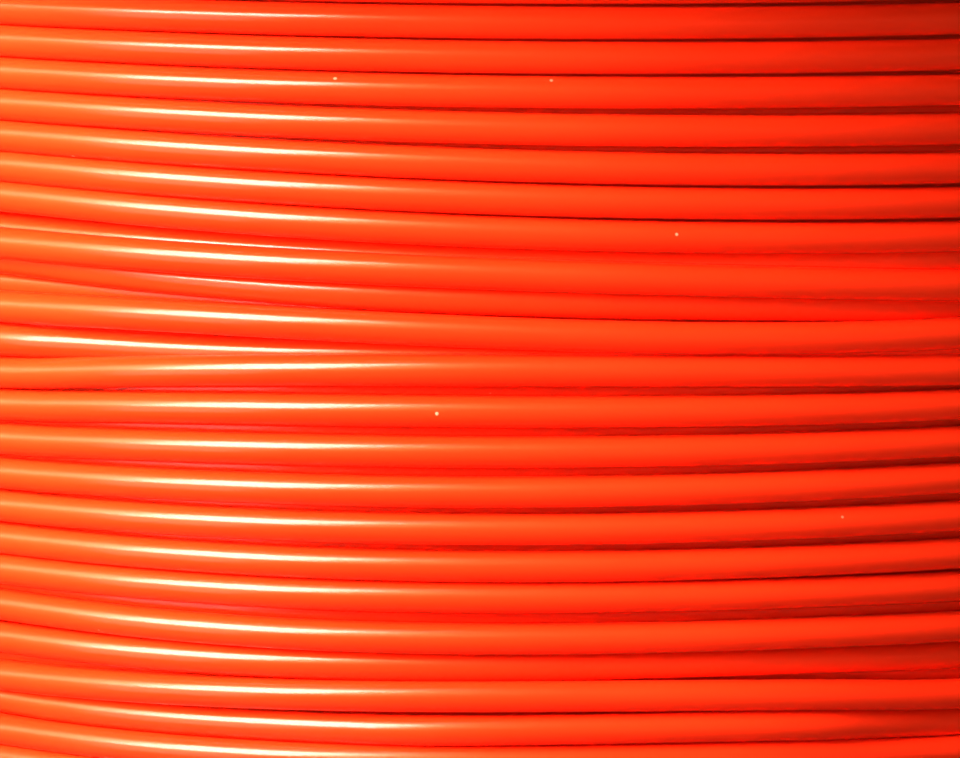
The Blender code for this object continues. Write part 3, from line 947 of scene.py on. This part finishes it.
def make_upper_flange(material):
    low, high = DISC_Z["upper"]
    seam = SPIGOT_R[1] - 0.3 * MM
    outlines = [circle(FLANGE_R - RIM_LIP_WIDTH / 2), circle(seam), *flange_openings()]
    disc = plate(outlines, low, high, 0.35 * MM)
    rim = turned([(r, HEIGHT - z) for r, z in rim_profile()], 0.7 * MM, 192)
    start = STOP_ANGLE - STOP_HALF_ANGLE - STOP_CLEARANCE
    end = STOP_ANGLE + RING_TURN + STOP_HALF_ANGLE + STOP_CLEARANCE
    notch_r = STOP_R + 2 * GAP
    pocket = arc(notch_r, start, end, 24) + arc(POCKET_R, end, start + math.tau, 120)
    pocket_sides = [circle(seam + 0.8 * MM), rounded(pocket, 0.4 * MM)]
    wall = plate(pocket_sides, POCKET_FLOOR[1] - 0.2 * MM, high, 0.25 * MM)
    web = turned(
        [
            (SPIGOT_R[0], SPIGOT_BOTTOM),
            (SPIGOT_R[1], SPIGOT_BOTTOM),
            (SPIGOT_R[1], high - 0.8 * MM),
            (notch_r + 0.3 * MM, high - 0.8 * MM),
            (notch_r + 0.3 * MM, POCKET_FLOOR[1]),
            (POCKET_HOLE_R, POCKET_FLOOR[1]),
            (POCKET_HOLE_R, POCKET_FLOOR[0]),
            (SPIGOT_R[0], POCKET_FLOOR[0]),
        ],
        0.3 * MM,
    )
    meshes = [disc, rim, wall, web]
    for details, proud in raised_details(True):
        meshes.append(plate(details, high - 0.3 * MM, high + proud, 0.1 * MM))
    add_piece("upper_flange_shell", meshes, material, "upper_half", "spool_plastic", "upper_flange")


def screw_places():
    """(x, y) of each screw, read from its CAD node."""
    places = []
    for i in range(1, 7):
        low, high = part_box(f"hub_screw_{i}")
        middle = (low + high) / 2
        places.append((middle.x, middle.y))
    return places


def make_hub(material):
    bottom, top = DRUM_Z
    floor = bottom + BASE_THICK
    tube_r = BORE_R + WALL
    drum = [(DRUM_R, bottom), (DRUM_R, top), (DRUM_R - WALL, top), (DRUM_R - WALL, floor)]
    tube = [(tube_r, floor), (tube_r, TUBE_TOP), (BORE_R, TUBE_TOP)]
    meshes = [turned([(BORE_R, bottom), *drum, *tube], 0.5 * MM, 192)]
    angles = [math.tau * i / RIB_COUNT for i in range(RIB_COUNT)]
    ribs = [spoke(tube_r - WALL / 2, DRUM_R - WALL / 2, angle, RIB_THICK) for angle in angles]
    meshes.append(plate(ribs, floor - 0.5 * MM, RIB_TOP, 0.3 * MM))
    lugs = [
        rounded(sector_outline(tube_r - WALL / 2, LUG_R, math.tau * i / LUG_COUNT, LUG_HALF_ANGLE), 0.8 * MM)
        for i in range(LUG_COUNT)
    ]
    meshes.append(plate(lugs, *LUG_Z, 0.3 * MM))
    sunk = 1 * MM  # how far a fin's ends reach into what they join
    for place in screw_places():
        hole = INSERT_R + GAP
        boss = [(hole, floor - 0.5 * MM), (BOSS_R, floor - 0.5 * MM), (BOSS_R, BOSS_TOP), (hole, BOSS_TOP)]
        meshes.append(turned(boss, 0.35 * MM, 48, place))
        angle = math.atan2(place[1], place[0])
        inner = (tube_r - sunk, SCREW_CIRCLE_R - BOSS_R + sunk)
        outer = (SCREW_CIRCLE_R + BOSS_R - sunk, DRUM_R - sunk)
        for near, far in (inner, outer):
            fin = spoke(near, far, angle, FIN_THICK)
            meshes.append(plate([fin], floor - 0.5 * MM, BOSS_TOP - 3 * MM, 0.2 * MM))
    add_piece("hub_shell", meshes, material, "lower_half", "spool_plastic", "hub")


def hexagon(apothem):
    """The radius of a hexagon at an angle."""
    return lambda angle: apothem / math.cos((angle + math.pi / 6) % (math.pi / 3) - math.pi / 6)


def knurl(angle):
    """An insert's radius at an angle."""
    return INSERT_R - KNURL_DEPTH + KNURL_DEPTH * abs(math.cos(12 * angle))


METAL_SHARP = math.radians(35)  # edges of the screws and inserts that bend by more than this stay sharp


def make_screws(steel, brass):
    for i, place in enumerate(screw_places(), start=1):
        neck = HEAD_FACE + HEAD_R - SHANK_R
        profile = [
            (0, HEAD_FACE + SOCKET_DEPTH),
            (hexagon(SOCKET_R), HEAD_FACE + SOCKET_DEPTH),
            (hexagon(SOCKET_R), HEAD_FACE + 0.08 * MM),
            (SOCKET_R * 1.3, HEAD_FACE),
            (HEAD_R - 0.15 * MM, HEAD_FACE),
            (HEAD_R, HEAD_FACE + 0.15 * MM),
            (SHANK_R, neck),
        ]
        z = neck + 0.4 * MM
        while z < SCREW_END - 0.8 * MM:
            profile += [(SHANK_R, z), (THREAD_R, z + 0.2 * MM), (SHANK_R, z + 0.4 * MM)]
            z += THREAD_PITCH
        profile += [(THREAD_R, SCREW_END - 0.5 * MM), (THREAD_R / 2, SCREW_END), (0, SCREW_END)]
        screw = turned(profile, sides=48, centre=place, closed=False)
        screw_node, insert_node = f"hub_screw_{i}", f"hub_insert_{i}"
        add_piece(f"screw_{i}", [screw], steel, "lower_half", "screw_steel", screw_node, sharp=METAL_SHARP)
        low, high = INSERT_Z
        third = (high - low) / 3
        groove, hole = INSERT_R - 0.3 * MM, SHANK_R + 0.02 * MM
        insert = [
            (hole, low),
            (groove, low),
            (knurl, low + 0.2 * MM),
            (knurl, low + third),
            (groove, low + third),
            (groove, high - third),
            (knurl, high - third),
            (knurl, high - 0.2 * MM),
            (groove, high),
            (SHANK_R + 0.3 * MM, high),
            (hole, high - 0.3 * MM),
        ]
        mesh = turned(insert, sides=72, centre=place)
        add_piece(f"insert_{i}", [mesh], brass, "lower_half", "insert_brass", insert_node, sharp=METAL_SHARP)


def make_lock_ring(material):
    low, high = RING_Z
    start, end = STOP_ANGLE - STOP_HALF_ANGLE, STOP_ANGLE + STOP_HALF_ANGLE
    edge = arc(STOP_R, start, end, 6) + arc(RING_R, end, start + math.tau, 140)
    inside = []
    for i in range(LUG_COUNT):
        gate = math.tau * i / LUG_COUNT
        after = gate + math.tau / LUG_COUNT
        inside += arc(RING_GATE_R, gate - RING_GATE_HALF_ANGLE, gate + RING_GATE_HALF_ANGLE, 16)
        inside += arc(RING_INNER_R, gate + RING_GATE_HALF_ANGLE, after - RING_GATE_HALF_ANGLE, 24)
    body = plate([rounded(edge, 0.5 * MM), rounded(inside, 0.5 * MM)], low, high, 0.35 * MM)
    neck = turned(
        [
            (NECK_R[0], LIP_Z[0]),
            (LIP_R - 0.5 * MM, LIP_Z[0]),
            (LIP_R, LIP_Z[0] + 0.6 * MM),
            (LIP_R, LIP_Z[1]),
            (NECK_R[1], LIP_Z[1]),
            (NECK_R[1], low + 0.5 * MM),
            (NECK_R[0], low + 0.5 * MM),
        ],
        0.2 * MM,
    )
    grips, ridges, arrows = [], [], []
    ridge_r = (GRIP_R[0] + 0.6 * MM, GRIP_R[1] - 0.6 * MM)
    inner, outer, barb = 36.4 * MM, 37.6 * MM, 0.9 * MM  # of the arrows
    for i in range(LUG_COUNT):
        middle = math.tau * (i + 0.5) / LUG_COUNT
        grips.append(rounded(sector_outline(*GRIP_R, middle, GRIP_HALF_ANGLE, 14), 0.9 * MM))
        for k in range(-4, 5):
            ridges.append(sector_outline(*ridge_r, middle + k * math.radians(2.9), math.radians(0.75), 2))
        start, end = middle + math.radians(24), middle + math.radians(38)
        tip = ((inner + outer) / 2, end + math.radians(5))
        head = [on_circle(*place, 0).to_2d() for place in ((outer + barb, end), tip, (inner - barb, end))]
        arrows.append(arc(outer, start, end, 8) + head + arc(inner, end, start, 8))
    tops = GRIP_TOP - 0.4 * MM
    meshes = [
        body,
        neck,
        plate(grips, high - 0.5 * MM, tops, 0.4 * MM),
        plate(ridges, tops - 0.3 * MM, GRIP_TOP, 0.12 * MM),
        plate(arrows, high - 0.2 * MM, high + 0.25 * MM, 0.08 * MM),
    ]
    add_piece("lock_ring_shell", meshes, material, "lock", "lock_ring_plastic", "lock_ring")


def make_core(material):
    low, high = DRUM_Z
    tube = turned([(CORE_INNER_R, low), (CORE_R, low), (CORE_R, high), (CORE_INNER_R, high)], 0.3 * MM, 192)
    add_piece("cardboard_core", [tube], material, "refill", "core_board", "refill_core")


def make_labels(material):
    for side, body in (("lower", "lower_half"), ("upper", "upper_half")):
        low, high = LABEL_Z[side]
        ring = plate([circle(LABEL_R, 192), circle(LABEL_INNER_R, 192)], low, high, 0.06 * MM)
        add_piece(f"{side}_label_ring", [ring], material, body, "label_paper", f"{side}_label")


# ---------------------------------------------------------------- stage, lights and camera


FLOOR_REACH = 6.0  # metres from the axis to each side


def make_floor():
    bm = bmesh.new()
    bmesh.ops.create_grid(bm, x_segments=8, y_segments=8, size=FLOOR_REACH)
    floor = link("floor", to_mesh(bm))
    floor.data.materials.append(floor_material())
    floor.visible_glossy = False


DAYLIGHT = (1.0, 0.84, 0.95)
WHITE = (1, 1, 1)


def add_softbox(
    name, target, azimuth, elevation, distance, size, power, spread=180, colour=WHITE, shine=True, fill=True
):
    """An area light that faces a target. Azimuth is in degrees from the camera's side, towards +X. Without
    shine it isn't reflected, and without fill it only is."""
    a, e = math.radians(azimuth), math.radians(elevation)
    direction = Vector((math.sin(a) * math.cos(e), -math.cos(a) * math.cos(e), math.sin(e)))
    light = bpy.data.lights.new(name, "AREA")
    light.shape = "RECTANGLE"
    light.size, light.size_y = size
    light.energy = power
    light.color = colour
    light.spread = math.radians(spread)
    holder = link(name, light)
    holder.location = target + direction * distance
    holder.rotation_mode = "QUATERNION"
    holder.rotation_quaternion = direction.to_track_quat("Z", "Y")
    holder.visible_camera = False
    holder.visible_glossy = shine
    holder.visible_diffuse = fill
    return holder


def make_lights():
    front = Vector((0, -WINDING_R, MIDDLE))
    centre = Vector((0, 0, MIDDLE))
    add_softbox("window", front, -26.5, 40, 0.8, (0.225, 0.5), 16, colour=DAYLIGHT, fill=False)
    add_softbox("window_edge", front, -44, 40, 0.8, (0.17, 0.5), 1.6, colour=DAYLIGHT, fill=False)
    add_softbox("window_glow", front, -28, 38, 0.6, (0.19, 1.6), 7.2, colour=DAYLIGHT, fill=False)
    left = front - Vector((12 * MM, 0, 0))
    key = add_softbox("key", left, -72, 20, 0.16, (0.1, 0.1), 0.30, spread=50, shine=False)
    low_fill = add_softbox("low_fill", front, 25, 5, 0.8, (0.5, 0.3), 0.75, shine=False)
    spool = bpy.data.collections.new("spool_pieces")
    for piece in bpy.context.scene.objects:
        if piece.type == "MESH" and piece.name != "floor":
            spool.objects.link(piece)
    for low_lamp in (key, low_fill):
        low_lamp.light_linking.receiver_collection = spool
    add_softbox("overhead", centre, 160, 75, 1.3, (1.0, 1.0), 13)
    add_softbox("back_right", centre, 120, 28, 1.5, (0.8, 0.9), 15)
    add_softbox("back_left", centre, 225, 35, 1.5, (0.8, 0.9), 12)
    world = bpy.data.worlds.new("studio")
    world.use_nodes = True
    world.node_tree.nodes["Background"].inputs["Color"].default_value = (0.92, 0.95, 1.0, 1)
    world.node_tree.nodes["Background"].inputs["Strength"].default_value = 0.27
    bpy.context.scene.world = world
    world.cycles_visibility.glossy = False


VIEW_TARGET = Vector((0, 0.75 * MM - WINDING_R, MIDDLE))  # just inside the front of the winding
VIEW_ELEVATION = math.radians(14)
VIEW_ROLL = math.radians(1.2)
VIEW_DISTANCE = 180 * MM
LENS = 124.2  # mm


def make_camera():
    """Close to the winding, a little above its middle, with a long lens and a slight roll."""
    camera = link("camera", bpy.data.cameras.new("camera"))
    back = Vector((0, -math.cos(VIEW_ELEVATION), math.sin(VIEW_ELEVATION)))
    level_up = Vector((0, math.sin(VIEW_ELEVATION), math.cos(VIEW_ELEVATION)))
    level_right = Vector((1, 0, 0))
    right = level_right * math.cos(VIEW_ROLL) + level_up * math.sin(VIEW_ROLL)
    up = level_up * math.cos(VIEW_ROLL) - level_right * math.sin(VIEW_ROLL)
    camera.location = VIEW_TARGET + back * VIEW_DISTANCE
    camera.rotation_mode = "QUATERNION"
    camera.rotation_quaternion = Matrix((right, up, back)).transposed().to_quaternion()
    camera.data.lens = LENS
    camera.data.clip_start = 0.01
    bpy.context.scene.camera = camera


def main():
    filament = filament_material()
    black = moulded_material("black_plastic", (0.012, 0.0125, 0.014), (0.10, 0.10, 0.10), 0.42)
    grey = moulded_material("grey_plastic", (0.12, 0.125, 0.135), (0.20, 0.20, 0.21), 0.40)
    tail = tail_points()
    top_turns = top_layer_turns()
    make_top_layer(top_turns, filament, tail[0])
    make_second_layer(top_turns, filament)
    make_winding_edges(filament)
    make_inner_layers(filament)
    make_tail(filament, tail)
    make_lower_flange(black)
    make_upper_flange(black)
    make_hub(black)
    make_lock_ring(grey)
    make_core(cardboard_material())
    make_labels(label_material())
    steel = metal_material("steel", (0.56, 0.57, 0.58), 0.28)
    make_screws(steel, metal_material("brass", (0.72, 0.50, 0.20), 0.30))
    make_floor()
    make_lights()
    make_camera()
    scene = bpy.context.scene
    scene.view_settings.view_transform = "Standard"
    scene.view_settings.gamma = 0.85


main()
